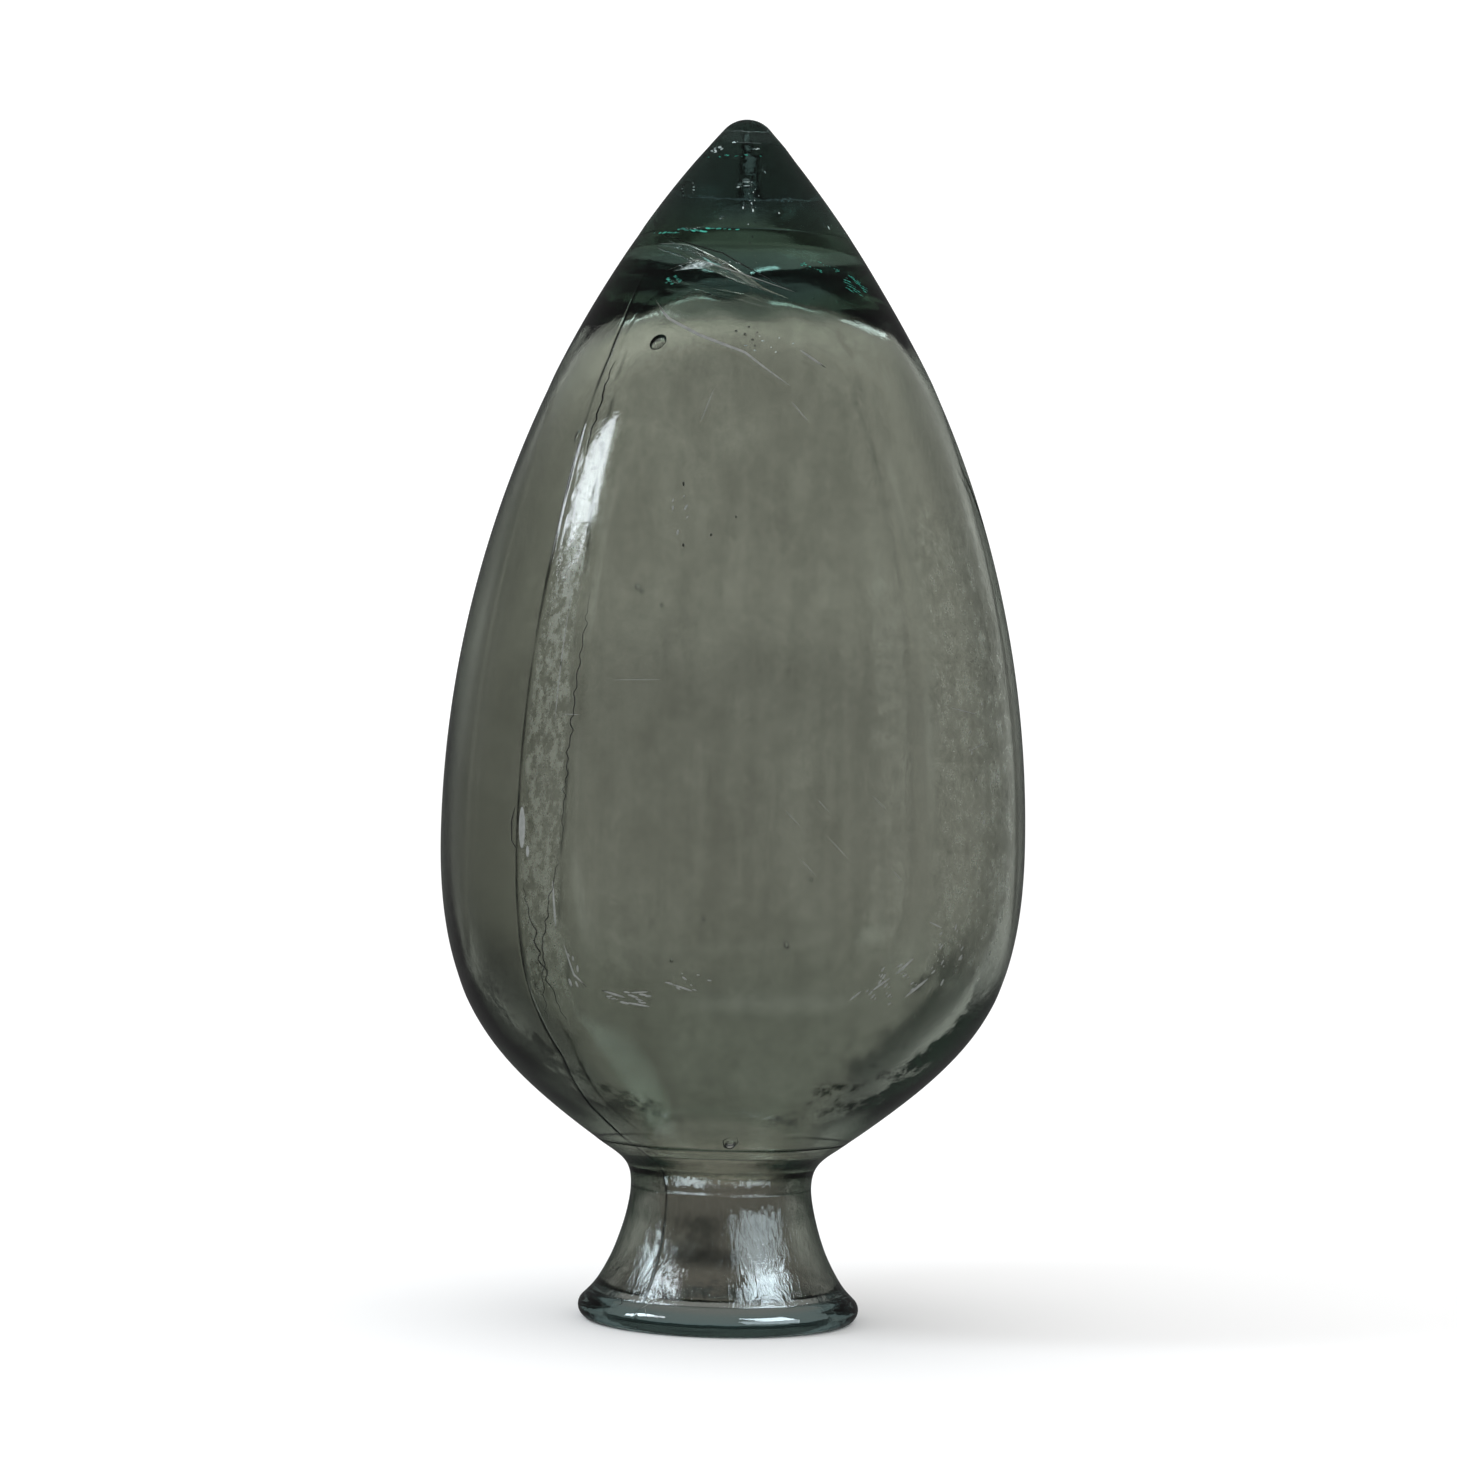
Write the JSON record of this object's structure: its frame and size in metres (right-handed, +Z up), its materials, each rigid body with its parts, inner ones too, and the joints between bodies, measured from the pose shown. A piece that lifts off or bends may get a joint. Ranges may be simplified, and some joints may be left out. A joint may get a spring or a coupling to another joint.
{
  "type": "glass finial",
  "caption": "Hollow blown-glass finial with a solid pointed tip, soft-cornered bulb, collared neck and open flared foot that it stands on.",
  "frame": {"origin": "centre of the resting face at the bottom of the foot", "axes": "+Z up along the finial's axis towards the tip; the bulb's four flats face +X, -X, +Y and -Y"},
  "size_m": [0.1832, 0.1832, 0.38],
  "materials": {
    "smoke_glass": "clear, smoky grey-green, fire-polished",
    "teal_glass": "clear, deep teal where the glass is thick, fire-polished"
  },
  "bodies": {
    "root": {"end_cap": "teal_glass", "solid_point": "teal_glass", "bulb": "smoke_glass", "neck_collar": "smoke_glass", "flared_foot": "smoke_glass", "foot_rim": "teal_glass"}
  },
  "joints": []
}
